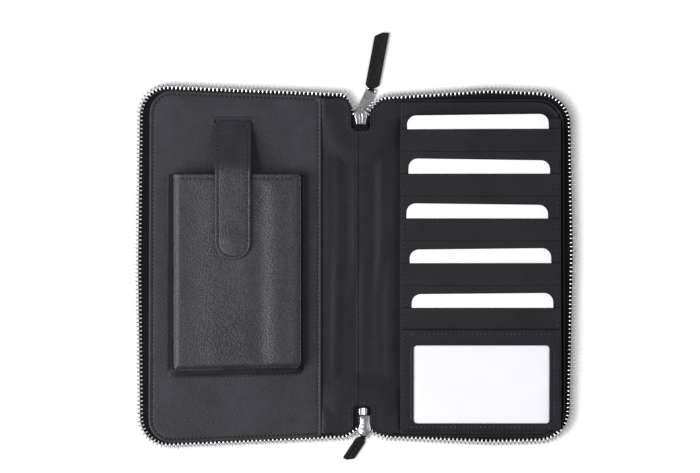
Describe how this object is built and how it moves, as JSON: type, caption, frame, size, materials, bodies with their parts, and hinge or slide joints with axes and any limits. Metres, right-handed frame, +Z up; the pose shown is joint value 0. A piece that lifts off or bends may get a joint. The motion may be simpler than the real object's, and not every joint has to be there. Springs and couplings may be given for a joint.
{
  "type": "travel document organizer",
  "caption": "Zip-around leather travel wallet lying open: phone pocket with a strap on one side, card slots and an ID window on the other, zip teeth all round.",
  "frame": {"origin": "on the underside of the spine, half-way between the top and bottom edges, where the open wallet rests on the table", "axes": "+X towards the card side, +Y towards the top edge, +Z up from the table"},
  "size_m": [0.2679, 0.2593, 0.0168],
  "materials": {
    "outer_leather": "black pebbled leather, satin",
    "inner_leather": "black smooth calf leather with fine grain, satin",
    "dark_leather": "black lining leather, satin",
    "board": "grey fibre board, matt",
    "filler": "thin foam, matt",
    "tape": "black woven zip tape",
    "nickel": "polished nickel",
    "zip_metal": "bright nickel",
    "magnet": "plated",
    "card": "blank white card, semi-matt",
    "film": "clear film"
  },
  "bodies": {
    "spine": {"spine_cover": "outer_leather", "spine_filler": "filler", "spine_lining": "dark_leather", "top_notch_binding": "dark_leather", "bottom_notch_binding": "dark_leather", "top_tape_end": "tape", "bottom_tape_end": "tape", "spine_zip_teeth": "zip_metal", "top_slider": "nickel", "bottom_slider": "nickel", "bottom_stop": "nickel"},
    "left_cover": {"left_cover_leather": "outer_leather", "left_board": "board", "left_lining": "dark_leather", "left_zip_tape": "tape", "left_zip_teeth": "zip_metal", "left_panel": "inner_leather", "strap_anchor": "inner_leather", "pocket_face": "inner_leather", "pocket_left_gusset": "dark_leather", "pocket_right_gusset": "dark_leather", "pocket_bottom_gusset": "dark_leather", "snap_socket": "nickel", "pocket_magnet": "magnet"},
    "closure_strap": {"strap_outer": "inner_leather", "strap_lining": "inner_leather", "snap_stud": "nickel"},
    "right_cover": {"right_cover_leather": "outer_leather", "right_board": "board", "right_lining": "dark_leather", "right_zip_tape": "tape", "right_zip_teeth": "zip_metal", "right_panel": "inner_leather", "slot_back_1": "inner_leather", "slot_back_2": "inner_leather", "slot_back_3": "inner_leather", "slot_back_4": "inner_leather", "slot_back_5": "inner_leather", "slot_front_1": "inner_leather", "slot_front_2": "inner_leather", "slot_front_3": "inner_leather", "slot_front_4": "inner_leather", "slot_front_5": "inner_leather", "slot_seams": "dark_leather", "window_back": "inner_leather", "window_film": "film", "window_frame": "inner_leather"},
    "card_1": {"card_1": "card"},
    "card_2": {"card_2": "card"},
    "card_3": {"card_3": "card"},
    "card_4": {"card_4": "card"},
    "card_5": {"card_5": "card"},
    "id_insert": {"id_insert": "card"},
    "top_link": {"top_pull_link": "nickel"},
    "top_tab": {"top_pull_tab": "outer_leather"},
    "bottom_link": {"bottom_pull_link": "nickel"},
    "bottom_tab": {"bottom_pull_tab": "outer_leather"}
  },
  "joints": [
    {"name": "left_fold", "type": "hinge", "parent": "spine", "child": "left_cover", "pos_m": [-0.0135, 0, 0.0022], "axis": [0, 1, 0], "range_deg": [0, 90]},
    {"name": "right_fold", "type": "hinge", "parent": "spine", "child": "right_cover", "pos_m": [0.0115, 0, 0.0022], "axis": [0, 1, 0], "range_deg": [-90, 0]},
    {"name": "strap_lift", "type": "hinge", "parent": "left_cover", "child": "closure_strap", "pos_m": [-0.0768, 0.0872, 0.005], "axis": [-1, 0, 0], "range_deg": [0, 130]},
    {"name": "card_1_slide", "type": "slide", "parent": "right_cover", "child": "card_1", "axis": [-0.0122, 0.9974, 0.0715], "range_m": [0, 0.04]},
    {"name": "card_2_slide", "type": "slide", "parent": "right_cover", "child": "card_2", "axis": [0.014, 0.9973, 0.0715], "range_m": [0, 0.04]},
    {"name": "card_3_slide", "type": "slide", "parent": "right_cover", "child": "card_3", "axis": [0.0122, 0.9974, 0.0715], "range_m": [0, 0.04]},
    {"name": "card_4_slide", "type": "slide", "parent": "right_cover", "child": "card_4", "axis": [-0.0105, 0.9974, 0.0715], "range_m": [0, 0.04]},
    {"name": "card_5_slide", "type": "slide", "parent": "right_cover", "child": "card_5", "axis": [-0.0087, 0.9974, 0.0715], "range_m": [0, 0.04]},
    {"name": "id_slide", "type": "slide", "parent": "right_cover", "child": "id_insert", "axis": [0, 0.9974, 0.0715], "range_m": [0, 0.04]},
    {"name": "top_link_swing", "type": "hinge", "parent": "spine", "child": "top_link", "pos_m": [0.0005, 0.0928, 0.00105], "axis": [-0.91, 0.4147, 0], "range_deg": [0, 150]},
    {"name": "top_tab_swing", "type": "hinge", "parent": "top_link", "child": "top_tab", "pos_m": [0.00697, 0.107, 0.00105], "axis": [-0.91, 0.4147, 0], "range_deg": [-60, 20]},
    {"name": "bottom_link_swing", "type": "hinge", "parent": "spine", "child": "bottom_link", "pos_m": [0.0029, -0.1002, 0.00105], "axis": [0.9397, -0.342, 0], "range_deg": [0, 130]},
    {"name": "bottom_tab_swing", "type": "hinge", "parent": "bottom_link", "child": "bottom_tab", "pos_m": [0.0017, -0.10349, 0.00105], "axis": [0.9397, -0.342, 0], "range_deg": [-60, 20]}
  ]
}
